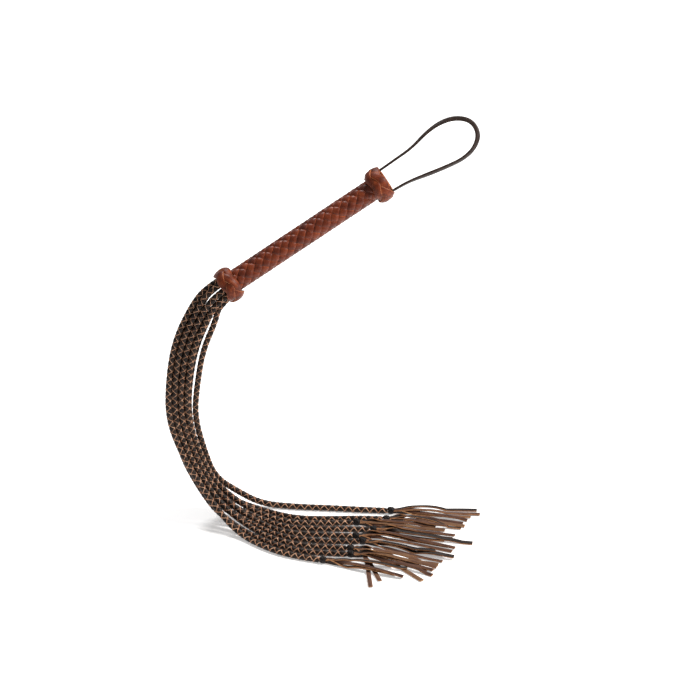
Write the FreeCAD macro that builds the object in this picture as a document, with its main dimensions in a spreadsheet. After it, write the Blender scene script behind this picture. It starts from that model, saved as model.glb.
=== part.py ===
"""A hand-plaited whip with nine tails: a covered handle with a knot at each end, a wrist loop and nine tails.

Millimetres, +Z up, origin at the middle of the grip. The handle is held up at a slant, and the tails hang
from its lower end and lie on a floor FLOOR below the grip. Handle pieces are drawn in the handle's own
frame: its z runs along the handle from the tails to the butt, and its x runs across the wrist loop.
"""

import FreeCAD
import Part
import math
import os

import Sketcher
from FreeCAD import Placement, Rotation, Vector

SIZES = {
    "handle_tilt": 28.6,  # degrees above the horizontal
    "handle_heading": 18.3,  # degrees about Z, from +X
    "handle_roll": -34.7,  # degrees about the handle, to the wrist loop's plane
    "collar_low": -112.3,  # along the handle: where the tails come out
    "butt_high": 112.8,  # along the handle: the flat end of the butt
    "knot_width": 20.5,
    "knot_diameter": 40.4,
    "knot_rim_diameter": 33.6,
    "knot_bore": 31.0,
    "knot_lace": 2.1,  # thickness of the lace that the knots are tied from
    "foundation_width": 16.5,
    "foundation_bore": 31.9,
    "foundation_rim": 32.6,
    "core_diameter": 14.0,
    "core_edge": 1.0,
    "wrap_outer": 20.6,
    "cover_inner": 20.8,
    "cover_outer": 25.6,
    "cap_diameter": 25.2,
    "cap_thickness": 2.4,
    "cap_edge": 0.5,
    "binding_inner": 30.6,
    "binding_outer": 31.8,
    "binding_width": 11.0,
    "tail_diameter": 6.8,
    "swing_radius": 19.0,  # the roots end on this ball about the collar's mouth
    "running_gap": 0.3,
    "tie_diameter": 7.6,
    "tie_length": 8.0,
    "tie_edge": 1.2,
    "lace_width": 4.8,
    "lace_thickness": 1.8,
    "lace_length": 100.0,
    "lace_gap": 0.25,  # between laces that lie side by side or on each other
    "strap_width": 5.2,
    "strap_thickness": 2.0,
    "strap_radius": 13.9,  # from the handle's middle line to each leg of the loop
}

FLOOR = -350.0
ON_FLOOR = FLOOR + 3.8  # height of a tail's middle line where it lies on the floor

# The middle line of each tail, from its root inside the collar to its tie.
TAILS = {
    1: [
        (-72.5, -30.5, -52.5), (-97, -40, -69), (-101, -42, -89.5), (-115, -43.5, -125.5),
        (-121.5, -43, -169), (-124.9, -39.5, -214.5), (-114.5, -32, -262.5), (-102, -22.5, -305),
        (-76.5, -13.5, -329), (-48, -13, ON_FLOOR), (-8, -20, ON_FLOOR), (33, -23, ON_FLOOR),
        (68, -27, ON_FLOOR), (96, -29, ON_FLOOR),
    ],
    2: [
        (-74, -35, -47.5), (-99, -45.5, -62.5), (-108.5, -43, -83), (-126, -45.5, -121),
        (-132.6, -46.5, -166.5), (-134, -45, -212.5), (-120.1, -38.5, -261), (-105.4, -33, -301),
        (-83.2, -28, -328.5), (-52.5, -34.5, ON_FLOOR), (-17, -57.5, ON_FLOOR), (22, -57.5, ON_FLOOR),
        (57, -56, ON_FLOOR),
    ],
    3: [
        (-77.5, -35.5, -41), (-103, -46.5, -55), (-115, -41, -79), (-133, -44.5, -119),
        (-140.1, -47, -165.5), (-141, -47.5, -212.5), (-125.8, -44, -260.5), (-108.9, -40, -300),
        (-88.8, -40.8, -326.5), (-59, -48, ON_FLOOR), (-26, -78.5, ON_FLOOR), (16, -84, ON_FLOOR),
        (56, -87, ON_FLOOR),
    ],
    4: [
        (-81.5, -31.5, -36.5), (-108, -41.5, -49.5), (-121.5, -39, -75.5), (-140, -43.5, -117),
        (-147.1, -47.5, -164.5), (-148, -49.2, -212.5), (-132.2, -48.8, -260.5), (-112.4, -47, -299),
        (-94.8, -52, -325), (-66.5, -60.5, ON_FLOOR), (-35, -95.5, ON_FLOOR), (4, -110.5, ON_FLOOR),
        (28, -112.5, ON_FLOOR), (50, -115, ON_FLOOR),
    ],
    5: [
        (-84, -25, -36), (-111, -33.5, -49), (-128, -36, -72), (-147.5, -41.5, -115.5),
        (-154.6, -47.5, -164), (-155, -51.7, -213), (-138.1, -53, -261), (-117.4, -53.5, -299),
        (-100.4, -62.5, -323), (-75, -80, ON_FLOOR), (-45, -111.5, ON_FLOOR), (-13, -132, ON_FLOOR),
        (19, -141, ON_FLOOR),
    ],
    6: [
        (-84, -18.5, -39.5), (-111, -25.5, -53.5), (-126.5, -28, -76), (-144.5, -35, -119.5),
        (-150.7, -40, -168), (-151, -43, -217), (-138.6, -46.5, -266), (-119.3, -48, -305),
        (-100.2, -55.5, -331), (-72, -73, ON_FLOOR), (-40, -103, ON_FLOOR), (-4, -122.5, ON_FLOOR),
        (24, -126, ON_FLOOR), (50, -128, ON_FLOOR),
    ],
    7: [
        (-81.5, -16, -45.5), (-108, -22, -60.5), (-118.8, -27.5, -80.3), (-137, -36.5, -121),
        (-143.2, -39.3, -168.5), (-144, -40, -217), (-132.6, -41.5, -265.5), (-115.3, -41, -305.5),
        (-94.6, -44.6, -332.5), (-63, -54.4, ON_FLOOR), (-30, -88, ON_FLOOR), (12, -98, ON_FLOOR),
        (39, -99.5, ON_FLOOR), (64, -99, ON_FLOOR),
    ],
    8: [
        (-77.5, -17.5, -51.5), (-103.8, -24.5, -67.5), (-113.8, -33, -83.5), (-130.2, -37.9, -123),
        (-136.4, -38.4, -169.5), (-137.5, -37.5, -217), (-127.1, -36.5, -265.5), (-111.3, -34, -306.5),
        (-88.5, -34, -334.5), (-56, -41.5, ON_FLOOR), (-21, -69, ON_FLOOR), (22, -70.5, ON_FLOOR),
        (51, -71, ON_FLOOR), (76, -72, ON_FLOOR),
    ],
    9: [
        (-74, -23.5, -54), (-100, -31.5, -71), (-108, -35.4, -87), (-123.1, -37.5, -125),
        (-130.2, -34.5, -170), (-132, -32.5, -217), (-122.1, -27, -267), (-110.2, -26.5, -309.5),
        (-83, -21, -335.5), (-49.5, -27, ON_FLOOR), (-12, -46.5, ON_FLOOR), (29, -48, ON_FLOOR),
        (63, -46.5, ON_FLOOR), (91, -48.5, ON_FLOOR),
    ],
}

# Where each fringe points on the floor, in degrees about Z from +X.
FRINGE_HEADING = {1: -1, 2: -7.5, 3: -6, 4: -10, 5: -20, 6: -13, 7: -11.2, 8: -8, 9: -2}
FRINGE_SPREAD = (1.2, 0.6)  # degrees, of the lower and the upper pair of laces

# The middle line of the wrist loop: across the loop, and above the butt's end.
LOOP = [
    (-13.9, 3), (-14.5, 22), (-15, 44), (-20.5, 67), (-21.5, 87), (-16.5, 105), (-3.5, 118.5), (13.5, 117.5),
    (24.5, 105), (28, 87), (25, 66), (20.5, 44), (15.5, 22), (13.9, 3),
]

RUN_SHARE = 0.45  # of the shorter run, taken by each arc of a cord's middle line

doc = FreeCAD.newDocument("whip")
nodes = {}


def make_sheet():
    """The driving sizes, one alias a row."""
    sheet = doc.addObject("Spreadsheet::Sheet", "Sizes")
    for row, (alias, value) in enumerate(SIZES.items(), start=1):
        sheet.set(f"A{row}", alias)
        sheet.set(f"B{row}", str(value))
        sheet.setAlias(f"B{row}", alias)
    doc.recompute()
    return sheet


sheet = make_sheet()


def size(alias):
    return float(sheet.get(alias))


def handle_frame(along=0.0):
    """The handle's frame, moved along the handle."""
    turn = Rotation(Vector(0, 0, 1), size("handle_heading"))
    lean = Rotation(Vector(0, 1, 0), 90 - size("handle_tilt"))
    roll = Rotation(Vector(0, 0, 1), size("handle_roll"))
    whole = turn.multiply(lean).multiply(roll)
    return Placement(whole.multVec(Vector(0, 0, along)), whole)


def keep(label, thing, placement=None):
    """Name a finished piece, and put it in its place."""
    thing.Label = label
    if placement is not None:
        thing.Placement = placement
    nodes[label] = thing
    return thing


def plane(body, role):
    return next(f for f in body.Origin.OriginFeatures if f.Role == role)


def sketch_on(body, role, name):
    sketch = body.newObject("Sketcher::SketchObject", name)
    sketch.AttachmentSupport = [(plane(body, role), "")]
    sketch.MapMode = "FlatFace"
    return sketch


def add_circle(sketch, name, diameter):
    """A circle about the sketch's origin, bound to an expression."""
    circle = sketch.addGeometry(Part.Circle(Vector(0, 0, 0), Vector(0, 0, 1), 10.0), False)
    sketch.addConstraint(Sketcher.Constraint("Coincident", circle, 3, -1, 1))
    index = sketch.addConstraint(Sketcher.Constraint("Diameter", circle, 20.0))
    sketch.renameConstraint(index, name)
    sketch.setExpression(f"Constraints.{name}", diameter)


def turned(label, outer, length, place, inner=None, edge=0.0):
    """A round bar, or a tube where inner is given, with its end edges softened."""
    body = doc.addObject("PartDesign::Body", label + "_body")
    sketch = sketch_on(body, "XY_Plane", label + "_section")
    add_circle(sketch, "outer", outer)
    if inner is not None:
        add_circle(sketch, "inner", inner)
    pad = body.newObject("PartDesign::Pad", label + "_pad")
    pad.Profile = sketch
    pad.setExpression("Length", length)
    doc.recompute()
    if edge:
        rims = [
            f"Edge{i}"
            for i, e in enumerate(pad.Shape.Edges, start=1)
            if e.Curve.TypeId == "Part::GeomCircle"
        ]
        soften = body.newObject("PartDesign::Fillet", label + "_edges")
        soften.Base = (pad, rims)
        soften.Radius = edge
        body.Tip = soften
    return keep(label, body, place)


def bulged(label, width, bore, rim, waist, place, bore_waist=None):
    """A barrel-shaped ring, turned about z: bore and rim are its diameters at the ends, waist in the middle."""
    body = doc.addObject("PartDesign::Body", label + "_body")
    sketch = sketch_on(body, "XZ_Plane", label + "_profile")
    w, a, b, c = (size_of(text) for text in (width, bore, rim, waist))
    corners = [Vector(a / 2, 0, 0), Vector(b / 2, 0, 0), Vector(b / 2, w, 0), Vector(a / 2, w, 0)]
    low = sketch.addGeometry(Part.LineSegment(corners[0], corners[1]), False)
    out = sketch.addGeometry(Part.Arc(corners[1], Vector(c / 2, w / 2, 0), corners[2]), False)
    high = sketch.addGeometry(Part.LineSegment(corners[2], corners[3]), False)
    if bore_waist is None:
        back = sketch.addGeometry(Part.LineSegment(corners[3], corners[0]), False)
        sketch.addConstraint(Sketcher.Constraint("Coincident", high, 2, back, 1))
        sketch.addConstraint(Sketcher.Constraint("Coincident", back, 2, low, 1))
    else:
        middle = Vector(size_of(bore_waist) / 2, w / 2, 0)
        back = sketch.addGeometry(Part.Arc(corners[0], middle, corners[3]), False)
        sketch.addConstraint(Sketcher.Constraint("Coincident", high, 2, back, 2))
        sketch.addConstraint(Sketcher.Constraint("Coincident", back, 1, low, 1))
    sketch.addConstraint(Sketcher.Constraint("Coincident", low, 2, out, 1))
    sketch.addConstraint(Sketcher.Constraint("Coincident", out, 2, high, 1))
    sketch.addConstraint(Sketcher.Constraint("Horizontal", low))
    sketch.addConstraint(Sketcher.Constraint("Horizontal", high))
    sketch.addConstraint(Sketcher.Constraint("Vertical", low, 2, high, 1))
    sketch.addConstraint(Sketcher.Constraint("Vertical", low, 1, high, 2))
    sketch.addConstraint(Sketcher.Constraint("PointOnObject", low, 1, -1))
    bind(sketch, "bore_radius", Sketcher.Constraint("DistanceX", -1, 1, low, 1, a / 2), f"({bore}) / 2")
    bind(sketch, "rim_radius", Sketcher.Constraint("DistanceX", -1, 1, low, 2, b / 2), f"({rim}) / 2")
    bind(sketch, "width", Sketcher.Constraint("DistanceY", low, 2, high, 1, w), width)
    bow = arc_radius(width, rim, waist)
    bind(sketch, "bow", Sketcher.Constraint("Radius", out, size_of(bow)), bow)
    if bore_waist is not None:
        bow = arc_radius(width, bore, bore_waist)
        bind(sketch, "inner_bow", Sketcher.Constraint("Radius", back, size_of(bow)), bow)
    turn = body.newObject("PartDesign::Revolution", label + "_turned")
    turn.Profile = sketch
    turn.ReferenceAxis = (sketch, ["V_Axis"])
    turn.Angle = 360.0
    return keep(label, body, place)


def size_of(text):
    """The number that an expression of sheet sizes gives now."""
    for alias in sorted(SIZES, key=len, reverse=True):
        text = text.replace("Sizes." + alias, str(size(alias)))
    total = FreeCAD.Units.Quantity(text)
    return float(total.Value)


def arc_radius(width, rim, waist):
    """The expression for the radius of the arc that joins two rims through a wider waist."""
    rise = f"(({waist}) / 2 - ({rim}) / 2)"
    half = f"(({width}) / 2)"
    return f"({half} * {half} + {rise} * {rise}) / (2 * {rise})"


def bind(sketch, name, constraint, expression):
    index = sketch.addConstraint(constraint)
    sketch.renameConstraint(index, name)
    sketch.setExpression(f"Constraints.{name}", expression)


def middle_line(points):
    """Straight runs joined by tangent arcs, and the smallest arc's radius."""
    places = [Vector(*p) for p in points]
    edges, radii, start = [], [], places[0]
    for before, corner, after in zip(places, places[1:], places[2:]):
        back, ahead = before - corner, after - corner
        reach = RUN_SHARE * min(back.Length, ahead.Length)
        half_turn = (math.pi - back.getAngle(ahead)) / 2
        radius = reach / math.tan(half_turn)
        back.normalize()
        ahead.normalize()
        inward = back + ahead
        inward.normalize()
        top = corner + inward * (radius / math.cos(half_turn) - radius)
        edges.append(Part.LineSegment(start, corner + back * reach).toShape())
        edges.append(Part.Arc(corner + back * reach, top, corner + ahead * reach).toShape())
        start = corner + ahead * reach
        radii.append(radius)
    edges.append(Part.LineSegment(start, places[-1]).toShape())
    return Part.Wire(edges), radii


def round_cord(name, points, diameter):
    """A plain tube along a route, checked against its section times its length."""
    line, radii = middle_line(points)
    first = line.Edges[0]
    section = Part.makeCircle(diameter / 2, first.Vertexes[0].Point, first.tangentAt(0))
    tube = line.makePipeShell([Part.Wire(section)], True, False)
    share = tube.Volume / (math.pi * diameter**2 / 4 * line.Length)
    text = " ".join(f"{r:.0f}" for r in radii)
    print(f"{name}: length {line.Length:.1f}, volume share {share:.4f}, radii {text}")
    return tube


def strap(name, points, width, thickness):
    """A flat strap standing across the plane of its route, which is the plane y = 0."""
    line, radii = middle_line([(x, 0, z) for x, z in points])
    first = line.Edges[0]
    along = first.tangentAt(0)
    side = Vector(0, width / 2, 0)
    face = along.cross(Vector(0, 1, 0)) * (thickness / 2)
    start = first.Vertexes[0].Point
    corners = [start + side + face, start - side + face, start - side - face, start + side - face]
    section = Part.makePolygon([*corners, corners[0]])
    solid = line.makePipeShell([section], True, False)
    share = solid.Volume / (width * thickness * line.Length)
    print(f"{name}: length {line.Length:.1f}, volume share {share:.4f}, least radius {min(radii):.0f}")
    return solid


def feature(label, shape, placement):
    thing = doc.addObject("Part::Feature", label)
    thing.Shape = shape
    return keep(label, thing, placement)


def make_handle():
    """Core, winding and plaited cover, with a leather disc over the butt's end."""
    under_knot = 1.0  # how far the cover runs in under the collar knot
    low = size("collar_low") + size("knot_width") - under_knot
    core_low = size("collar_low") + size("core_edge")
    under_cap = size("butt_high") - size("cap_thickness")
    core = f"Sizes.butt_high - Sizes.cap_thickness - ({core_low})"
    cover = f"Sizes.butt_high - Sizes.cap_thickness - ({low})"
    turned("handle_core", "Sizes.core_diameter", core, handle_frame(core_low), edge=size("core_edge"))
    turned("core_wrap", "Sizes.wrap_outer", cover, handle_frame(low), inner="Sizes.core_diameter + 0.2")
    turned("handle_cover", "Sizes.cover_outer", cover, handle_frame(low), inner="Sizes.cover_inner")
    place = handle_frame(under_cap)
    turned("butt_cap", "Sizes.cap_diameter", "Sizes.cap_thickness", place, edge=size("cap_edge"))


def make_knot(name, low):
    """A wide-lace knot round a barrel-shaped foundation."""
    gap = (size("knot_width") - size("foundation_width")) / 2
    waist = "Sizes.knot_diameter - 2 * Sizes.knot_lace"
    bulged(
        name + "_foundation", "Sizes.foundation_width", "Sizes.foundation_bore", "Sizes.foundation_rim",
        f"{waist} - 0.4", handle_frame(low + gap),
    )
    bulged(
        name + "_knot", "Sizes.knot_width", "Sizes.knot_bore", "Sizes.knot_rim_diameter",
        "Sizes.knot_diameter", handle_frame(low), bore_waist=waist,
    )


def make_binding(label, middle):
    """Waxed thread wound round what a knot holds."""
    place = handle_frame(middle - size("binding_width") / 2)
    turned(label, "Sizes.binding_outer", "Sizes.binding_width", place, inner="Sizes.binding_inner")


def make_loop():
    """The wrist strap, and its two ends laid along the handle inside the butt knot."""
    width, thick = size("strap_width"), size("strap_thickness")
    feature("wrist_loop", strap("wrist_loop", LOOP, width, thick), handle_frame(size("butt_high")))
    reach = size("knot_width")
    ends = []
    for side in (-1, 1):
        corner = Vector(side * size("strap_radius") - thick / 2, -width / 2, -reach)
        ends.append(Part.makeBox(thick, width, reach, corner))
    feature("loop_ends", Part.makeCompound(ends), handle_frame(size("butt_high")))


def collar_space(radius):
    """The ball about the collar's mouth, with the collar's own inside behind it."""
    ball = Part.makeSphere(radius)
    behind = Part.makeCylinder(radius, 30, Vector(0, 0, 0))
    space = ball.fuse(behind)
    space.Placement = handle_frame(size("collar_low"))
    return space


def make_tails():
    """Nine tails, each parted from its root on a ball about the collar's mouth, where the bundle swings."""
    inside = collar_space(size("swing_radius"))
    clear = collar_space(size("swing_radius") + size("running_gap"))
    roots = []
    for number, points in TAILS.items():
        tube = round_cord(f"tail_{number}", points, size("tail_diameter"))
        roots += tube.common(inside).Solids
        tail = tube.cut(clear)
        feature(f"tail_{number}", tail.Solids[0], Placement())
    feature("tail_roots", Part.makeCompound(roots), Placement())


def make_tie(number, end, heading):
    """The small knot that stops the plait."""
    lay = Rotation(Vector(0, 0, 1), heading).multiply(Rotation(Vector(0, 1, 0), 90))
    place = Placement(end, lay)
    turned(f"tail_{number}_tie", "Sizes.tie_diameter", "Sizes.tie_length", place, edge=size("tie_edge"))


def make_lace(number, name, start, heading, side, level):
    """One flat lace of a fringe, lying on the floor or on another lace."""
    lace = doc.addObject("Part::Box", f"tail_{number}_{name}")
    lace.setExpression("Length", "Sizes.lace_length")
    lace.setExpression("Width", "Sizes.lace_width")
    lace.setExpression("Height", "Sizes.lace_thickness")
    turn = Rotation(Vector(0, 0, 1), heading)
    gap = size("lace_gap")
    across = gap if side > 0 else -gap - size("lace_width")
    up = gap + level * (size("lace_thickness") + gap)
    place = Vector(start.x, start.y, FLOOR + up) + turn.multVec(Vector(0, across, 0))
    lace.Placement = Placement(place, turn)
    return lace


def make_fringe(number, start):
    """The four laces that the tail is plaited from, loose beyond the tie."""
    laces = []
    for level, spread in enumerate(FRINGE_SPREAD):
        for side in (-1, 1):
            heading = FRINGE_HEADING[number] + side * spread
            laces.append(make_lace(number, f"lace_{len(laces) + 1}", start, heading, side, level))
    group = doc.addObject("Part::Compound", f"tail_{number}_laces")
    group.Links = laces
    keep(f"tail_{number}_fringe", group)


def make_tail_ends():
    for number, points in TAILS.items():
        before, end = Vector(*points[-2]), Vector(*points[-1])
        along = end - before
        heading = math.degrees(math.atan2(along.y, along.x))
        make_tie(number, end, heading)
        along.normalize()
        make_fringe(number, end + along * (size("tie_length") + 3 * size("lace_gap")))


def check():
    """Stop if anything in the document failed, or if a piece isn't a good solid."""
    doc.recompute()
    for thing in doc.Objects:
        if any(word in thing.State for word in ("Invalid", "Error")):
            raise RuntimeError(f"{thing.Label} is {thing.State}")
    for label, thing in nodes.items():
        shape = thing.Shape
        if shape.isNull() or not shape.isValid() or not shape.Solids:
            raise RuntimeError(f"{label} has no good solid")


def write():
    os.makedirs("parts", exist_ok=True)
    for label, thing in nodes.items():
        thing.Shape.exportStep(f"parts/{label}.step")
    print(f"{len(nodes)} nodes written")


make_handle()
make_knot("collar", size("collar_low"))
make_knot("butt", size("butt_high") - size("knot_width"))
make_binding("tail_binding", size("collar_low") + size("knot_width") / 2)
make_binding("loop_binding", size("butt_high") - size("knot_width") / 2)
make_loop()
make_tails()
make_tail_ends()
check()
write()
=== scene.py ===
"""A plaited leather whip with nine tails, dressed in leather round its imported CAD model. Metres, +Z up."""

import math
import random

import bmesh
import bpy
import numpy as np
from mathutils import Matrix, Vector


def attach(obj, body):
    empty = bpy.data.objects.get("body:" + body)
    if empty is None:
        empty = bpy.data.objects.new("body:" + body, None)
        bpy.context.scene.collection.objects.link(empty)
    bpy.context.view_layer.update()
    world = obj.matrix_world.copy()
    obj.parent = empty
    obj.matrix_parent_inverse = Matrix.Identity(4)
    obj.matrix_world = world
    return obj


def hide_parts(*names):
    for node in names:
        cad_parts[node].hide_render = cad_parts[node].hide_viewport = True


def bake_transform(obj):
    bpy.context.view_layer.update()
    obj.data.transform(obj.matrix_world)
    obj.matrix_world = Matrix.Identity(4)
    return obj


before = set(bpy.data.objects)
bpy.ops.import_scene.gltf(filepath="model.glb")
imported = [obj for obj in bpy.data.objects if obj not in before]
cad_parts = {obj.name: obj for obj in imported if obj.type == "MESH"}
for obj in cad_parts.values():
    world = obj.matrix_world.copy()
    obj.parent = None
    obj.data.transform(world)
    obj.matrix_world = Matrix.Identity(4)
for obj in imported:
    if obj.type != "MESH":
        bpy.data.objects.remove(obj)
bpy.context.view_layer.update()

MM = 0.001
FLOOR = -0.350  # m
ON_FLOOR = -346.2  # mm, height of a tail's middle line where it lies on the floor
COLLAR_LOW, BUTT_HIGH = -112.3, 112.8  # mm along the handle, its two ends
LOOK_DOWN = math.radians(30)
TOWARDS_CAMERA = Vector((0.0, -math.cos(LOOK_DOWN), math.sin(LOOK_DOWN)))
GRAIN, EDGE, FLESH = 0, 1, 2  # the three faces of a leather lace

HEADING, SLANT, ROLL = math.radians(18.3), math.radians(61.4), math.radians(-34.7)
HANDLE = Matrix.Rotation(HEADING, 4, "Z") @ Matrix.Rotation(SLANT, 4, "Y") @ Matrix.Rotation(ROLL, 4, "Z")

# The middle line of each tail, from its root inside the collar to its tie, in mm.
TAILS = {
    1: [
        (-72.5, -30.5, -52.5), (-97, -40, -69), (-101, -42, -89.5), (-115, -43.5, -125.5),
        (-121.5, -43, -169), (-124.9, -39.5, -214.5), (-114.5, -32, -262.5), (-102, -22.5, -305),
        (-76.5, -13.5, -329), (-48, -13, ON_FLOOR), (-8, -20, ON_FLOOR), (33, -23, ON_FLOOR),
        (68, -27, ON_FLOOR), (96, -29, ON_FLOOR),
    ],
    2: [
        (-74, -35, -47.5), (-99, -45.5, -62.5), (-108.5, -43, -83), (-126, -45.5, -121),
        (-132.6, -46.5, -166.5), (-134, -45, -212.5), (-120.1, -38.5, -261), (-105.4, -33, -301),
        (-83.2, -28, -328.5), (-52.5, -34.5, ON_FLOOR), (-17, -57.5, ON_FLOOR), (22, -57.5, ON_FLOOR),
        (57, -56, ON_FLOOR),
    ],
    3: [
        (-77.5, -35.5, -41), (-103, -46.5, -55), (-115, -41, -79), (-133, -44.5, -119),
        (-140.1, -47, -165.5), (-141, -47.5, -212.5), (-125.8, -44, -260.5), (-108.9, -40, -300),
        (-88.8, -40.8, -326.5), (-59, -48, ON_FLOOR), (-26, -78.5, ON_FLOOR), (16, -84, ON_FLOOR),
        (56, -87, ON_FLOOR),
    ],
    4: [
        (-81.5, -31.5, -36.5), (-108, -41.5, -49.5), (-121.5, -39, -75.5), (-140, -43.5, -117),
        (-147.1, -47.5, -164.5), (-148, -49.2, -212.5), (-132.2, -48.8, -260.5), (-112.4, -47, -299),
        (-94.8, -52, -325), (-66.5, -60.5, ON_FLOOR), (-35, -95.5, ON_FLOOR), (4, -110.5, ON_FLOOR),
        (28, -112.5, ON_FLOOR), (50, -115, ON_FLOOR),
    ],
    5: [
        (-84, -25, -36), (-111, -33.5, -49), (-128, -36, -72), (-147.5, -41.5, -115.5),
        (-154.6, -47.5, -164), (-155, -51.7, -213), (-138.1, -53, -261), (-117.4, -53.5, -299),
        (-100.4, -62.5, -323), (-75, -80, ON_FLOOR), (-45, -111.5, ON_FLOOR), (-13, -132, ON_FLOOR),
        (19, -141, ON_FLOOR),
    ],
    6: [
        (-84, -18.5, -39.5), (-111, -25.5, -53.5), (-126.5, -28, -76), (-144.5, -35, -119.5),
        (-150.7, -40, -168), (-151, -43, -217), (-138.6, -46.5, -266), (-119.3, -48, -305),
        (-100.2, -55.5, -331), (-72, -73, ON_FLOOR), (-40, -103, ON_FLOOR), (-4, -122.5, ON_FLOOR),
        (24, -126, ON_FLOOR), (50, -128, ON_FLOOR),
    ],
    7: [
        (-81.5, -16, -45.5), (-108, -22, -60.5), (-118.8, -27.5, -80.3), (-137, -36.5, -121),
        (-143.2, -39.3, -168.5), (-144, -40, -217), (-132.6, -41.5, -265.5), (-115.3, -41, -305.5),
        (-94.6, -44.6, -332.5), (-63, -54.4, ON_FLOOR), (-30, -88, ON_FLOOR), (12, -98, ON_FLOOR),
        (39, -99.5, ON_FLOOR), (64, -99, ON_FLOOR),
    ],
    8: [
        (-77.5, -17.5, -51.5), (-103.8, -24.5, -67.5), (-113.8, -33, -83.5), (-130.2, -37.9, -123),
        (-136.4, -38.4, -169.5), (-137.5, -37.5, -217), (-127.1, -36.5, -265.5), (-111.3, -34, -306.5),
        (-88.5, -34, -334.5), (-56, -41.5, ON_FLOOR), (-21, -69, ON_FLOOR), (22, -70.5, ON_FLOOR),
        (51, -71, ON_FLOOR), (76, -72, ON_FLOOR),
    ],
    9: [
        (-74, -23.5, -54), (-100, -31.5, -71), (-108, -35.4, -87), (-123.1, -37.5, -125),
        (-130.2, -34.5, -170), (-132, -32.5, -217), (-122.1, -27, -267), (-110.2, -26.5, -309.5),
        (-83, -21, -335.5), (-49.5, -27, ON_FLOOR), (-12, -46.5, ON_FLOOR), (29, -48, ON_FLOOR),
        (63, -46.5, ON_FLOOR), (91, -48.5, ON_FLOOR),
    ],
}

# The middle line of the wrist loop in the handle's frame: across the loop, and above the butt's end, in mm.
LOOP = [
    (-13.9, -14), (-13.9, -6), (-13.9, 3), (-14.5, 22), (-15, 44), (-20.5, 67), (-21.5, 87), (-16.5, 105),
    (-3.5, 118.5), (13.5, 117.5), (24.5, 105), (28, 87), (25, 66), (20.5, 44), (15.5, 22), (13.9, 3),
    (13.9, -6), (13.9, -14),
]

# The laces of each fringe: where the lace ends on the floor in mm, its heading where it leaves the tie and at
# its end in degrees, and the face that lies upwards.
FRINGES = {
    4: [
        (86.5, -184, -30, -72, FLESH), (76, -198, 48, -84, FLESH), (134.5, -184, -8, -50, FLESH),
        (140, -161, 2, -38, FLESH),
    ],
    5: [
        (104, -171, -22, -10, FLESH), (113, -177, -10, -16, FLESH), (100, -151, 14, -12, FLESH),
        (117.5, -159, 0, -10, GRAIN),
    ],
    1: [
        (190, -39, -6, -2, FLESH), (186, -47, 2, -16, FLESH), (200.5, -33, 3, -3, FLESH),
        (197, -24, 12, -3, GRAIN),
    ],
    2: [
        (139, -80, -16, -8, FLESH), (155, -76, -12, -8, FLESH), (160.5, -72, -6, -8, FLESH),
        (150, -66, 2, -10, FLESH),
    ],
    9: [
        (163, -67.5, -12, -8, FLESH), (179, -65, -2, -8, GRAIN), (183, -60, 22, -14, FLESH),
        (181, -54, 36, -16, FLESH),
    ],
    8: [
        (160, -93, -16, -6, FLESH), (169, -88, -2, -10, FLESH), (192, -99, -8, -9, GRAIN),
        (172, -84, 12, -14, FLESH),
    ],
    3: [
        (150, -119, -12, -14, FLESH), (168.5, -117.5, 8, -20, FLESH), (164, -106, 16, -18, FLESH),
        (172, -112, 24, -20, FLESH),
    ],
    7: [
        (157.5, -140.5, -22, -18, FLESH), (160, -127, 0, -20, FLESH), (171, -133.5, -12, -10, GRAIN),
        (149.5, -124.5, -10, -12, GRAIN),
    ],
    6: [
        (146, -172, -14, -34, FLESH), (147, -163, -4, -28, FLESH), (151, -156.5, -8, -18, FLESH),
        (153, -147.5, -2, -14, FLESH),
    ],
}

BRAID_PITCH = 18.6 * MM
TAIL_RADIUS = 3.4 * MM  # of the CAD's plain tubes; the plaits stand up to 0.4 mm proud
COVER_PITCH = 70.2 * MM
COVER_LOW, COVER_HIGH = -98, 109  # mm along the handle
KNOT_RADIUS = 19.5 * MM
TIE_LENGTH = 8.0 * MM
FRINGE_WIDTH, FRINGE_THICKNESS = 5.3 * MM, 1.5 * MM
FRINGE_LIFT = 1.5 * MM  # of a lace's middle over what it lies on: half its thickness, and some for its tilt
FRINGE_ROOT = 3 * MM  # of each lace, hidden in the tie
STRAP_WIDTH, STRAP_THICKNESS = 5.4 * MM, 2.3 * MM
STRAP_SPAN = 300  # the strap's whole length, in the measure of STRAP_TURN
STRAP_TURN = [  # places along the strap, and by how many degrees its face is turned there
    (0, 8), (30, 9), (62, 14), (92, 30), (118, 66), (150, 90), (176, 46), (204, 32), (236, 40), (262, 18),
    (300, 8),
]

rng = random.Random(11)


# ---------------------------------------------------------------- lines

def spline_line(points):
    """Points down a smooth NURBS line with those control points, in metres."""
    curve = bpy.data.curves.new("route", "CURVE")
    curve.dimensions = "3D"
    curve.resolution_u = 24
    spline = curve.splines.new("NURBS")
    spline.points.add(len(points) - 1)
    for place, point in zip(spline.points, points):
        place.co = (*point, 1.0)
    spline.order_u = 3
    spline.use_endpoint_u = True
    holder = bpy.data.objects.new("route", curve)
    mesh = bpy.data.meshes.new_from_object(holder)
    line = np.array([v.co for v in mesh.vertices], float)
    bpy.data.objects.remove(holder)
    bpy.data.curves.remove(curve)
    bpy.data.meshes.remove(mesh)
    return line


def lengths(line):
    """The length along a line up to each of its points."""
    return np.concatenate([[0.0], np.cumsum(np.linalg.norm(np.diff(line, axis=0), axis=1))])


def at(where, along, values):
    """Rows of values at other places along."""
    return np.stack([np.interp(where, along, values[:, k]) for k in range(values.shape[1])], axis=1)


def evenly(line, step):
    """The same line with its points about a step apart."""
    along = lengths(line)
    count = max(2, int(round(along[-1] / step)) + 1)
    return at(np.linspace(0, along[-1], count), along, line)


def unit(rows):
    return rows / np.linalg.norm(rows, axis=1)[:, None]


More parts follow.
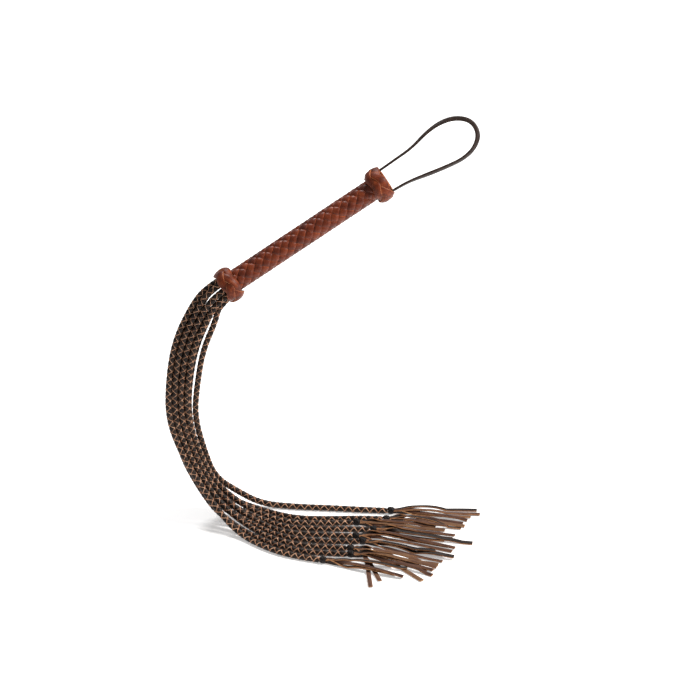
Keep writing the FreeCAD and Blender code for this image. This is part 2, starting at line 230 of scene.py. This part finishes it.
def smooth(x):
    """A soft step from 0 to 1."""
    x = np.clip(x, 0, 1)
    return x * x * (3 - 2 * x)


def squared(wave, edge):
    """A wave between -1 and 1 with flatter tops: the higher the edge, the steeper its sides."""
    return np.tanh(edge * wave) / math.tanh(edge)


# ---------------------------------------------------------------- objects

def placed(name, data):
    """A new object in the scene."""
    thing = bpy.data.objects.new(name, data)
    bpy.context.scene.collection.objects.link(thing)
    return thing


def skin(name, points, faces, slots, materials):
    """A smooth closed mesh with its normals outwards, and a material slot for each face."""
    mesh = bpy.data.meshes.new(name)
    mesh.from_pydata(points, [], faces)
    mesh.polygons.foreach_set("material_index", slots)
    mesh.polygons.foreach_set("use_smooth", [True] * len(faces))
    work = bmesh.new()
    work.from_mesh(mesh)
    bmesh.ops.recalc_face_normals(work, faces=work.faces)
    work.to_mesh(mesh)
    work.free()
    for material in materials:
        mesh.materials.append(material)
    return mesh


# ---------------------------------------------------------------- laces

def section(width, thickness, bevel):
    """Corners of a lace's section as across and up, and the face that starts at each."""
    w, t = width / 2, thickness / 2
    b, d = bevel, min(bevel, 0.7 * t)
    crown = 0.12 * t
    points = [
        (-w, -t + d), (-w, t - d), (-w + b, t), (-w / 3, t + crown), (w / 3, t + crown),
        (w - b, t), (w, t - d), (w, -t + d), (w - b, -t), (-w + b, -t),
    ]
    faces = [EDGE, EDGE, GRAIN, GRAIN, GRAIN, EDGE, EDGE, EDGE, FLESH, EDGE]
    return points, faces


class Laces:
    """Vertices, faces, face slots and lace coordinates of a mesh of laces that is being gathered."""

    SHARP = math.radians(50)

    def __init__(self):
        self.points, self.faces, self.slots = [], [], []
        self.along, self.across, self.tone = [], [], []
        self.count = 0

    def lace(self, place, along, width, thickness, bevel, closed=False, tone=0.5):
        """place(across, up) gives the line of points that far from the lace's middle."""
        corners, kinds = section(width, thickness, bevel)
        columns = [place(u, n) for u, n in corners]
        rows, size = len(columns[0]), len(corners)
        base = self.count
        self.points.append(np.stack(columns, axis=1).reshape(-1, 3))
        self.along.append(np.repeat(along, size))
        self.across.append(np.tile([u for u, _ in corners], rows))
        self.tone.append(np.full(rows * size, tone))
        self.count += rows * size
        i = np.arange(rows if closed else rows - 1)
        for k, kind in enumerate(kinds):
            a, b = i * size + k, i * size + (k + 1) % size
            ahead = ((i + 1) % rows) * size
            quad = np.stack([a, ahead + k, ahead + (k + 1) % size, b], axis=1) + base
            self.faces += quad.tolist()
            self.slots += [kind] * len(quad)
        if not closed:
            self.faces.append([base + k for k in range(size)])
            self.faces.append([base + (rows - 1) * size + k for k in reversed(range(size))])
            self.slots += [EDGE] * 2

    def piece(self, name, materials):
        mesh = skin(name, np.concatenate(self.points).tolist(), self.faces, self.slots, materials)
        for label, values in (("along", self.along), ("across", self.across), ("tone", self.tone)):
            layer = mesh.attributes.new(label, "FLOAT", "POINT")
            layer.data.foreach_set("value", np.concatenate(values).astype(np.float32))
        mesh.set_sharp_from_angle(angle=self.SHARP)
        return placed(name, mesh)


def braid(
    laces, line, first, pitch, half, radius, rise, width, thickness, bevel, turn, step, camber, wander, seed
):
    """A round plait of 2 * half flat laces, over one and under one, about a line.

    first is the side that turn is counted from, rise is how far a lace goes out over the others, and wander is
    how unevenly it is plaited.
    """
    local = random.Random(seed)
    along = lengths(line)
    tangent = unit(np.gradient(line, axis=0))
    normal = unit(np.array(first) - tangent * (tangent @ np.array(first))[:, None])
    binormal = np.cross(tangent, normal)
    lean = math.atan2(2 * math.pi * radius, pitch)
    margin = width / 2 * math.sin(lean)
    s = np.linspace(margin, along[-1] - margin, max(2, int((along[-1] - 2 * margin) / step)))
    slow = [local.uniform(0, 2 * math.pi) for _ in range(2)]
    start = local.uniform(0, pitch)
    pull_length, twist_length = 7.3 * pitch, 11.7 * pitch
    warp = s + start + wander * pitch * np.sin(2 * math.pi * s / pull_length + slow[0])
    twist = turn + 3 * wander * np.sin(2 * math.pi * s / twist_length + slow[1])
    wave = squared(np.cos(2 * math.pi * half * warp / pitch), 1.5)
    for way in (1, -1):
        for k in range(half):
            angle = way * 2 * math.pi * warp / pitch + 2 * math.pi * k / half + twist
            loose = local.uniform(-0.05, 0.05)

            def place(u, n):
                there = s - way * math.sin(lean) * u
                turned = angle + u * math.cos(lean) / radius + loose
                out = (radius + rise * way * wave + n - camber * u * u)[:, None]
                centre, e1, e2 = at(there, along, line), at(there, along, normal), at(there, along, binormal)
                return centre + out * (np.cos(turned)[:, None] * e1 + np.sin(turned)[:, None] * e2)

            laces.lace(place, s, width, thickness, bevel, tone=local.random())


def free_lace(laces, line, normals, width, thickness, bevel, camber, tone=0.5):
    """A lace along a line, with the way its grain side faces given at each point."""
    tangent = unit(np.gradient(line, axis=0))
    up = unit(normals - tangent * (normals * tangent).sum(1)[:, None])
    side = np.cross(tangent, up)

    def place(u, n):
        return line + side * u + up * (n + camber * u * u)

    laces.lace(place, lengths(line), width, thickness, bevel, tone=tone)


def ball_knot(laces, matrix, bights, reach, radius, bows, rise, width, thickness, bevel, turn, tone=0.5):
    """A ring knot of three leads about local z: one wide lace, over one and under one, on a rounded ring.

    reach is how far the lace's middle goes along z, and bows are the ring's roundings below and above its
    middle.
    """
    leads = 3
    rows = 90 * bights
    t = np.arange(rows) / rows * 2 * leads * math.pi
    s = bights * t / leads
    q = reach * np.sin(s)
    dq = reach * np.cos(s) * bights / leads
    height = rise * squared(np.sin(2 * s), 1.6)
    length = np.hypot(dq, radius)
    flat, lift = radius / length, dq / length
    axes, shift = np.array(matrix.to_3x3()), np.array(matrix.translation)

    def place(u, n):
        there = q + u * flat
        bow = np.where(there < 0, bows[0], bows[1])
        a = there / bow
        ring = radius - bow + bow * np.cos(a)
        theta = t + turn - u * lift / radius
        out = ring + (height + n) * np.cos(a)
        up = bow * np.sin(a) + (height + n) * np.sin(a)
        local = np.stack([out * np.cos(theta), out * np.sin(theta), up], axis=1)
        return local @ axes.T + shift

    along = np.concatenate([[0.0], np.cumsum(length[:-1] * (t[1] - t[0]))])
    laces.lace(place, along, width, thickness, bevel, closed=True, tone=tone)


# ---------------------------------------------------------------- materials

class Nodes:
    """A material's node tree with a Principled shader at its end."""

    def __init__(self, name):
        self.material = bpy.data.materials.new(name)
        self.material.use_nodes = True
        self.tree = self.material.node_tree
        self.tree.nodes.clear()
        out = self.tree.nodes.new("ShaderNodeOutputMaterial")
        self.shader = self.tree.nodes.new("ShaderNodeBsdfPrincipled")
        self.tree.links.new(self.shader.outputs["BSDF"], out.inputs["Surface"])
        self.place = self.add("ShaderNodeTexCoord").outputs["Object"]

    def add(self, kind, inputs=None, **settings):
        node = self.tree.nodes.new(kind)
        for key, value in settings.items():
            setattr(node, key, value)
        for key, value in (inputs or {}).items():
            self.put(node.inputs[key], value)
        return node

    def put(self, socket, value):
        """Link a socket to another, or set its own value."""
        if isinstance(value, bpy.types.NodeSocket):
            self.tree.links.new(value, socket)
        else:
            socket.default_value = value

    def finish(self, **values):
        """Set the shader's sockets, given with _ for each space, and hand over the material."""
        for key, value in values.items():
            self.put(self.shader.inputs[key.replace("_", " ")], value)
        return self.material

    def math(self, kind, *values):
        return self.add("ShaderNodeMath", dict(enumerate(values)), operation=kind).outputs[0]

    def swing(self, base, value, amount):
        """base, and value's swing about a half times amount."""
        return self.math("MULTIPLY_ADD", self.math("SUBTRACT", value, 0.5), amount, base)

    def noise(self, size, detail=3.0, place=None):
        inputs = {"Vector": place or self.place, "Scale": 1 / size, "Detail": detail, "Roughness": 0.55}
        return self.add("ShaderNodeTexNoise", inputs).outputs["Fac"]

    def cells(self, size):
        inputs = {"Vector": self.place, "Scale": 1 / size}
        return self.add("ShaderNodeTexVoronoi", inputs, feature="F1").outputs["Distance"]

    def attribute(self, name):
        return self.add("ShaderNodeAttribute", attribute_name=name, attribute_type="GEOMETRY").outputs["Fac"]

    def ramp(self, factor, stops):
        node = self.add("ShaderNodeValToRGB", {"Fac": factor})
        band = node.color_ramp.elements
        while len(band) < len(stops):
            band.new(0.5)
        for spot, (where, colour) in zip(band, stops):
            spot.position = where
            spot.color = (*colour, 1.0)
        return node.outputs["Color"]

    def mix(self, factor, a, b):
        return self.add("ShaderNodeMix", {"Factor": factor, 6: a, 7: b}, data_type="RGBA").outputs[2]

    def spread(self, value, low, high):
        """A noise's usual range, widened to low and high."""
        inputs = {"Value": value, "From Min": 0.25, "From Max": 0.75, "To Min": low, "To Max": high}
        return self.add("ShaderNodeMapRange", inputs).outputs[0]

    def bump(self, height, distance):
        inputs = {"Height": height, "Distance": distance, "Strength": 1.0}
        return self.add("ShaderNodeBump", inputs).outputs["Normal"]

    def lace_place(self, stretch):
        """Coordinates along and across a lace, shortened along it so that marks run lengthwise."""
        along = self.math("MULTIPLY", self.attribute("along"), stretch)
        inputs = {"X": along, "Y": self.attribute("across"), "Z": self.attribute("tone")}
        return self.add("ShaderNodeCombineXYZ", inputs).outputs[0]

    def handle_place(self, scale=(1.0, 1.0, 1.0)):
        """Coordinates in the handle's own frame, with its z along it."""
        inputs = {"Vector": self.place, "Rotation": tuple(HANDLE.inverted().to_euler()), "Scale": scale}
        return self.add("ShaderNodeMapping", inputs).outputs[0]


def stops(*colours, places=(0.2, 0.5, 0.85)):
    """A ramp's stops: dark, middle and light, or dark and light."""
    if len(colours) == 2:
        places = (places[0], 0.8)
    return list(zip(places, colours))


def grain_leather(name, colours, roughness, specular, depth=0.09, mottle=9.0):
    """The smooth side: pebbled grain, fine creases, mottled dye and a tone of its own for each lace."""
    n = Nodes(name)
    tone = n.swing(n.noise(mottle * MM, 4), n.attribute("tone"), 0.22)
    tone = n.swing(tone, n.noise(1.6 * MM, 3, n.lace_place(0.2)), 0.45)
    pits = n.cells(0.7 * MM)
    crease = n.noise(1.1 * MM, 5, n.lace_place(0.35))
    pebbles = n.math("MULTIPLY_ADD", n.noise(0.35 * MM, 3), 0.5, n.math("SUBTRACT", 1.0, pits))
    return n.finish(
        Base_Color=n.mix(n.spread(pits, 0.0, 0.35), n.ramp(tone, colours), (*colours[0][1], 1.0)),
        Roughness=n.spread(n.noise(2.2 * MM, 4), *roughness),
        Specular_IOR_Level=specular,
        Normal=n.bump(n.math("MULTIPLY_ADD", crease, 0.9, pebbles), depth * MM),
    )


def cut_leather(name, colours):
    """A cut edge: layered fibres drawn out along the lace, in tones that vary from place to place and from
    lace to lace.
    """
    n = Nodes(name)
    fibre = n.noise(0.45 * MM, 4, n.lace_place(0.15))
    tone = n.swing(n.noise(5 * MM, 4), n.attribute("tone"), 0.25)
    return n.finish(
        Base_Color=n.ramp(n.swing(tone, fibre, 0.5), colours),
        Roughness=0.8,
        Specular_IOR_Level=0.12,
        Normal=n.bump(fibre, 0.08 * MM),
    )


def flesh_leather(name, colours):
    """The suede side: a short nap with brushed lighter and darker patches."""
    n = Nodes(name)
    nap = n.noise(0.4 * MM, 5)
    brushed = n.noise(3.2 * MM, 4, n.lace_place(0.12))
    tone = n.swing(n.noise(14 * MM, 3), n.attribute("tone"), 0.5)
    tone = n.swing(tone, brushed, 0.6)
    tone = n.swing(tone, nap, 0.25)
    return n.finish(
        Base_Color=n.ramp(tone, colours),
        Roughness=0.88,
        Specular_IOR_Level=0.12,
        Sheen_Weight=0.1,
        Sheen_Roughness=0.5,
        Normal=n.bump(n.math("ADD", nap, brushed), 0.12 * MM),
    )


def thread(name, colours, size):
    """Thread or twine wound round the handle, size mm thick."""
    n = Nodes(name)
    inputs = {"Vector": n.handle_place(), "Scale": 0.314 / (size * MM), "Distortion": 0.6, "Detail": 1.0}
    wound = n.add("ShaderNodeTexWave", inputs, bands_direction="Z").outputs["Fac"]
    tone = n.math("MULTIPLY_ADD", n.noise(0.3 * MM, 4), 0.5, n.math("MULTIPLY", wound, 0.5))
    return n.finish(Base_Color=n.ramp(tone, colours), Roughness=0.6, Normal=n.bump(wound, 0.3 * MM))


def wood(name):
    """Wood with its figure drawn out along the handle."""
    n = Nodes(name)
    line = n.noise(1.4 * MM, 5, n.handle_place((1.0, 1.0, 0.08)))
    return n.finish(
        Base_Color=n.ramp(line, [(0.3, (0.23, 0.12, 0.055)), (0.7, (0.47, 0.29, 0.15))]),
        Roughness=n.spread(line, 0.5, 0.7),
        Normal=n.bump(line, 0.05 * MM),
    )


def felt(name, colours):
    n = Nodes(name)
    fibre = n.noise(0.5 * MM, 6)
    return n.finish(
        Base_Color=n.ramp(fibre, colours), Roughness=0.95, Sheen_Weight=0.4, Normal=n.bump(fibre, 0.2 * MM),
    )


COVER = [
    grain_leather(
        "cover_grain", stops((0.058, 0.008, 0.0018), (0.14, 0.021, 0.0045), (0.25, 0.048, 0.012)),
        roughness=(0.34, 0.48), specular=0.3, depth=0.05,
    ),
    cut_leather("cover_edge", stops((0.1, 0.015, 0.004), (0.3, 0.06, 0.015), (0.55, 0.15, 0.045))),
    flesh_leather("cover_flesh", stops((0.09, 0.035, 0.02), (0.2, 0.09, 0.05))),
]
KNOT = [
    grain_leather(
        "knot_grain", stops((0.05, 0.0075, 0.0018), (0.15, 0.023, 0.005), (0.31, 0.068, 0.018)),
        roughness=(0.38, 0.52), specular=0.24, mottle=7,
    ),
    cut_leather("knot_edge", stops((0.13, 0.03, 0.01), (0.36, 0.115, 0.045), (0.66, 0.32, 0.17))),
    flesh_leather("knot_flesh", stops((0.1, 0.04, 0.024), (0.22, 0.1, 0.06))),
]
TAIL = [
    grain_leather(
        "tail_grain", stops((0.006, 0.003, 0.002), (0.017, 0.0095, 0.0065), (0.05, 0.031, 0.021)),
        roughness=(0.36, 0.56), specular=0.2,
    ),
    cut_leather("tail_edge", stops((0.19, 0.09, 0.052), (0.46, 0.24, 0.145), (0.76, 0.48, 0.32))),
    flesh_leather("tail_flesh", stops((0.06, 0.03, 0.02), (0.16, 0.08, 0.055))),
]
FRINGE = [
    grain_leather(
        "fringe_grain", stops((0.007, 0.004, 0.003), (0.018, 0.011, 0.009), (0.045, 0.03, 0.024)),
        roughness=(0.4, 0.58), specular=0.14,
    ),
    cut_leather("fringe_edge", stops((0.13, 0.055, 0.025), (0.29, 0.135, 0.062), (0.48, 0.27, 0.14))),
    flesh_leather(
        "fringe_flesh",
        stops((0.045, 0.019, 0.013), (0.1, 0.045, 0.029), (0.17, 0.09, 0.046), places=(0.15, 0.5, 0.85)),
    ),
]
STRAP = [
    grain_leather(
        "strap_grain", stops((0.01, 0.005, 0.004), (0.025, 0.013, 0.01), (0.06, 0.034, 0.027)),
        roughness=(0.35, 0.5), specular=0.3,
    ),
    cut_leather("strap_edge", stops((0.012, 0.008, 0.007), (0.03, 0.018, 0.014), (0.08, 0.05, 0.036))),
    flesh_leather("strap_flesh", stops((0.03, 0.018, 0.014), (0.08, 0.048, 0.036))),
]
TIE = [
    grain_leather(
        "tie_grain", stops((0.005, 0.004, 0.004), (0.012, 0.009, 0.009), (0.032, 0.025, 0.024)),
        roughness=(0.4, 0.6), specular=0.15,
    ),
    cut_leather("tie_edge", stops((0.008, 0.006, 0.006), (0.018, 0.013, 0.012), (0.05, 0.036, 0.032))),
    flesh_leather("tie_flesh", stops((0.012, 0.009, 0.008), (0.035, 0.025, 0.022))),
]
TWINE = stops((0.18, 0.11, 0.06), (0.42, 0.3, 0.18))
WAXED = stops((0.02, 0.015, 0.012), (0.09, 0.065, 0.05))
PADDING = [(0.3, (0.05, 0.03, 0.02)), (0.7, (0.11, 0.07, 0.05))]


# ---------------------------------------------------------------- tails

def tail_piece(number):
    points = [Vector(p) * MM for p in TAILS[number]]
    line = evenly(spline_line(points), 1.0 * MM)
    laces = Laces()
    braid(
        laces, line, TOWARDS_CAMERA, BRAID_PITCH, half=2, radius=2.6 * MM, rise=0.55 * MM, width=6.0 * MM,
        thickness=1.1 * MM, bevel=0.68 * MM, turn=math.pi / 4 + rng.uniform(-0.15, 0.15), step=1.1 * MM,
        camber=26, wander=0.05, seed=number,
    )
    thing = laces.piece(f"tail_{number}_plait", TAIL)
    return thing, line


def tie_piece(number, line):
    """A small dark ring knot over the plait's end."""
    end, along = Vector(line[-1]), Vector(line[-1] - line[-4]).normalized()
    overlap, lift = 1.0 * MM, 0.6 * MM
    matrix = along.to_track_quat("Z", "Y").to_matrix().to_4x4()
    matrix.translation = end + along * (TIE_LENGTH / 2 - overlap) + Vector((0, 0, lift))
    laces = Laces()
    ball_knot(
        laces, matrix, bights=4, reach=2.6 * MM, radius=3.5 * MM, bows=(5.5 * MM, 5.5 * MM), rise=0.4 * MM,
        width=3.3 * MM, thickness=0.9 * MM, bevel=0.2 * MM, turn=rng.uniform(0, 6), tone=rng.random(),
    )
    thing = laces.piece(f"tail_{number}_tie_knot", TIE)
    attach(thing, "tails")
    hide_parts(f"tail_{number}_tie")
    return thing, end + along * TIE_LENGTH, along


class Pile:
    """What already lies on the floor, as points with a half width and the height of their tops."""

    NEAR = 12 * MM  # of its own tie, where a lace may pass through its tail and its sisters

    def __init__(self):
        self.rows = []

    def add(self, line, half, top, owner):
        count = len(line)
        self.rows.append(np.column_stack([line[:, :2], np.full(count, half), top, np.full(count, owner)]))

    def height(self, line, half, owner, start):
        """The lowest that a lace's middle may lie at each of its points."""
        there = np.concatenate(self.rows)
        mine = (there[:, 4] == owner) & (np.linalg.norm(there[:, :2] - start[:2], axis=1) < self.NEAR)
        there = there[~mine]
        gap = np.linalg.norm(line[:, None, :2] - there[None, :, :2], axis=2)
        touched = np.where(gap < there[:, 2] + half, there[:, 3], FLOOR)
        return np.maximum(FLOOR, touched.max(axis=1))


def lace_plan(start, end, leave, arrive):
    """A fringe's lace seen from above: a curve with those headings at its two ends, in degrees."""
    a, b = np.radians(leave), np.radians(arrive)
    reach = np.linalg.norm(end - start)
    out = start + reach * 0.3 * np.array([math.cos(a), math.sin(a)])
    back = end - reach * 0.36 * np.array([math.cos(b), math.sin(b)])
    t = np.linspace(0, 1, 70)[:, None]
    plan = (1 - t) ** 3 * start + 3 * (1 - t) ** 2 * t * out + 3 * (1 - t) * t**2 * back + t**3 * end
    return np.column_stack([plan, np.zeros(len(plan))])


def lace_height(s, low, level):
    """Heights of a lace's middle: it leaves its tie at level and comes down on what lies there already."""
    bend_radius, settling = 70 * MM, 20 * MM
    drop = (s[:, None] - s[None, :]) ** 2 / (2 * bend_radius)
    rest = np.maximum((low[None, :] - drop).max(axis=1), FLOOR + FRINGE_LIFT)
    height = level + (rest - level) * smooth((s - FRINGE_ROOT) / settling)
    return np.maximum(height, FLOOR + FRINGE_LIFT)


def lace_roll(s, index, face, tilt):
    """How far a lace is rolled along its length: from its place in the plait to the face it lies on."""
    at_tie = (90, -90, 180, 0)[index]
    lying = 180.0 if face == FLESH else 0.0
    lying += (360 if at_tie - lying > 180 else 0) - (360 if lying - at_tie > 180 else 0)
    gone = smooth((s - 4 * MM) / (26 * MM))
    sway = 6 * np.sin(s / (17 * MM) + index)
    return np.radians(at_tie + (lying + tilt - at_tie) * gone + sway)


def fringe_piece(number, start, along, pile):
    """Four loose laces, each laid on what lies there already."""
    laces = Laces()
    heading = math.atan2(along.y, along.x)
    root = np.array(start[:2]) - FRINGE_ROOT * np.array([math.cos(heading), math.sin(heading)])
    half = FRINGE_WIDTH / 2
    for index, (x, y, leave, arrive, face) in enumerate(FRINGES[number]):
        line = lace_plan(root, np.array([x, y]) * MM, leave, arrive)
        s = lengths(line)
        low = pile.height(line, half * 0.85, number, np.array(start)) + FRINGE_THICKNESS / 2 + 0.2 * MM
        level = (ON_FLOOR * MM) + (1.1 * MM if index > 1 else -0.6 * MM)
        line[:, 2] = lace_height(s, low, level)
        pile.add(line[8:], half, line[8:, 2] + FRINGE_THICKNESS / 2, number)
        tangent = unit(np.gradient(line, axis=0))
        side = unit(np.cross(tangent, [0, 0, 1.0]))
        up = np.cross(side, tangent)
        roll = lace_roll(s, index, face, tilt=rng.uniform(-10, 10))
        normals = up * np.cos(roll)[:, None] + side * np.sin(roll)[:, None]
        free_lace(
            laces, line, normals, FRINGE_WIDTH * rng.uniform(0.92, 1.05), FRINGE_THICKNESS, bevel=0.35 * MM,
            camber=rng.uniform(-25, 25), tone=rng.random(),
        )
    thing = laces.piece(f"tail_{number}_fringe_laces", FRINGE)
    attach(thing, "tails")
    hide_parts(f"tail_{number}_fringe")
    return thing


tails, lines, ties = {}, {}, {}
pile = Pile()
for number in TAILS:
    tails[number], lines[number] = tail_piece(number)
for number, line in lines.items():
    low = line[line[:, 2] < FLOOR + 8 * MM]
    pile.add(low, TAIL_RADIUS * 0.8, low[:, 2] + TAIL_RADIUS * 0.9, number)
    ties[number] = tie_piece(number, line)
for number in FRINGES:
    _, start, along = ties[number]
    fringe_piece(number, start, along, pile)

for number, tail in tails.items():
    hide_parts(f"tail_{number}", *(["tail_roots"] if number == 1 else []))
    line = lines[number]
    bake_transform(tail)


# ---------------------------------------------------------------- handle

def on_handle(x, y, z):
    """A place in the handle's own frame, given in mm."""
    return HANDLE @ (Vector((x, y, z)) * MM)


def cover_piece():
    laces = Laces()
    line = np.array([on_handle(0, 0, z) for z in range(COVER_LOW, COVER_HIGH + 1)], float)
    braid(
        laces, line, HANDLE.to_3x3() @ Vector((1, 0, 0)), COVER_PITCH, half=6, radius=11.75 * MM,
        rise=0.75 * MM, width=8.9 * MM, thickness=1.1 * MM, bevel=0.24 * MM, turn=0.3, step=0.9 * MM,
        camber=30, wander=0.012, seed=5,
    )
    thing = laces.piece("handle_cover_plait", COVER)
    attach(thing, "handle")
    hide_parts("handle_cover")


def knot_piece(name, middle, bows, turn):
    """A ball knot round the handle, with its middle that far along it in mm."""
    laces = Laces()
    matrix = HANDLE.copy()
    matrix.translation = on_handle(0, 0, middle)
    ball_knot(
        laces, matrix, bights=5, reach=6.7 * MM, radius=KNOT_RADIUS, bows=(bows[0] * MM, bows[1] * MM),
        rise=0.7 * MM, width=9.0 * MM, thickness=1.3 * MM, bevel=0.34 * MM, turn=turn,
    )
    thing = laces.piece(name + "_lace", KNOT)
    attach(thing, "handle")
    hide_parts(name)


def disc_piece():
    """The butt's leather disc: a crowned grain face with a cut edge."""
    radius, thick, proud = 12.9, 2.6, 1.0
    outline = [  # distance from the axis and height over the disc's middle, as shares of its size
        (0.02, 1.0), (0.35, 0.98), (0.7, 0.9), (0.9, 0.72), (0.97, 0.45), (1.0, 0.2), (1.0, -0.5),
        (0.985, -0.95), (0.9, -1.0), (0.02, -1.0),
    ]
    around = 96
    points, faces, slots = [], [], []
    for r, z in outline:
        for k in range(around):
            a = 2 * math.pi * k / around
            height = BUTT_HIGH + proud - thick / 2 + z * thick / 2
            points.append(on_handle(r * radius * math.cos(a), r * radius * math.sin(a), height))
    for i in range(len(outline) - 1):
        for k in range(around):
            j = (k + 1) % around
            faces.append([i * around + k, (i + 1) * around + k, (i + 1) * around + j, i * around + j])
            slots.append(GRAIN if i < 3 else EDGE if i < 7 else FLESH)
    faces.append(list(range(around)))
    faces.append(list(reversed(range((len(outline) - 1) * around, len(outline) * around))))
    slots += [GRAIN, FLESH]
    thing = placed("butt_disc", skin("butt_disc", points, faces, slots, (STRAP[0], KNOT[1], STRAP[2])))
    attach(thing, "handle")
    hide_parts("butt_cap")


def loop_piece():
    """The wrist strap: on edge at the butt, turned to lie flat in the loop farther out."""
    points = [on_handle(x, 0, BUTT_HIGH + z) for x, z in LOOP]
    line = evenly(spline_line(points), 1.5 * MM)
    s = lengths(line)
    tangent = unit(np.gradient(line, axis=0))
    across = np.array(HANDLE.to_3x3() @ Vector((0, 1, 0)))
    inward = np.cross(tangent, across)
    spots, degrees = np.array(STRAP_TURN).T
    turn = np.radians(np.interp(s, spots * s[-1] / STRAP_SPAN, degrees))
    for _ in range(12):
        turn[1:-1] = (turn[:-2] + 2 * turn[1:-1] + turn[2:]) / 4
    normals = inward * np.cos(turn)[:, None] - across * np.sin(turn)[:, None]
    laces = Laces()
    free_lace(laces, line, normals, STRAP_WIDTH, STRAP_THICKNESS, bevel=0.3 * MM, camber=-8)
    thing = laces.piece("wrist_strap", STRAP)
    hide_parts("wrist_loop", "loop_ends")
    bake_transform(thing)


cover_piece()
knot_piece("collar_knot", COLLAR_LOW + 10.25, bows=(20.0, 12.5), turn=0.4)
knot_piece("butt_knot", BUTT_HIGH - 10.75, bows=(12.5, 26.0), turn=1.3)
disc_piece()
loop_piece()

inside = {
    "handle_core": wood("turned_wood"),
    "core_wrap": thread("wrap_twine", TWINE, 1.2),
    "collar_foundation": felt("collar_felt", PADDING),
    "butt_foundation": felt("butt_felt", PADDING),
    "tail_binding": thread("tail_thread", WAXED, 0.7),
    "loop_binding": thread("loop_thread", WAXED, 0.7),
}
for name, material in inside.items():
    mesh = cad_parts[name].data
    mesh.materials.clear()
    mesh.materials.append(material)


# ---------------------------------------------------------------- floor, light and camera

def floor_piece():
    n = Nodes("floor_paper")
    paper = n.finish(
        Base_Color=n.ramp(n.noise(0.4, 3), [(0.3, (0.9, 0.9, 0.9)), (0.7, (0.93, 0.93, 0.93))]),
        Roughness=0.95,
        Specular_IOR_Level=0.0,
        Emission_Color=(1.0, 1.0, 1.0, 1.0),
        Emission_Strength=0.36,
    )
    size = 40  # m, out to the horizon of every view
    corners = [(-size, -size, FLOOR), (size, -size, FLOOR), (size, size, FLOOR), (-size, size, FLOOR)]
    mesh = bpy.data.meshes.new("floor")
    mesh.from_pydata(corners, [], [[0, 1, 2, 3]])
    mesh.materials.append(paper)
    placed("floor", mesh)


def softbox(name, place, size, power, colour=(1, 1, 1)):
    """A round lamp that faces the whip."""
    light = bpy.data.lights.new(name, "AREA")
    light.shape = "DISK"
    light.size = size
    light.energy = power
    light.color = colour
    thing = placed(name, light)
    thing.location = place
    thing.rotation_mode = "QUATERNION"
    thing.rotation_quaternion = (Vector((0, -0.03, -0.15)) - Vector(place)).to_track_quat("-Z", "Y")


def daylight():
    """An even white world."""
    world = bpy.data.worlds.new("studio")
    world.use_nodes = True
    sky = world.node_tree.nodes["Background"]
    sky.inputs["Color"].default_value = (1.0, 1.0, 1.0, 1.0)
    sky.inputs["Strength"].default_value = 0.3
    bpy.context.scene.world = world


def camera():
    data = bpy.data.cameras.new("camera")
    data.type = "ORTHO"
    data.ortho_scale = 0.798
    data.clip_end = 200
    thing = placed("camera", data)
    target, distance = Vector((0.0524, -0.0656, -0.1135)), 10.0
    thing.location = target + TOWARDS_CAMERA * distance
    thing.rotation_mode = "QUATERNION"
    thing.rotation_quaternion = (-TOWARDS_CAMERA).to_track_quat("-Z", "Y")
    bpy.context.scene.camera = thing


floor_piece()
softbox("key", (1.55, -0.3, 1.25), 0.6, 50, (1.0, 0.97, 0.93))
softbox("rim", (-0.1, 1.2, 1.5), 0.8, 26)
daylight()
camera()
bpy.context.scene.view_settings.view_transform = "Standard"
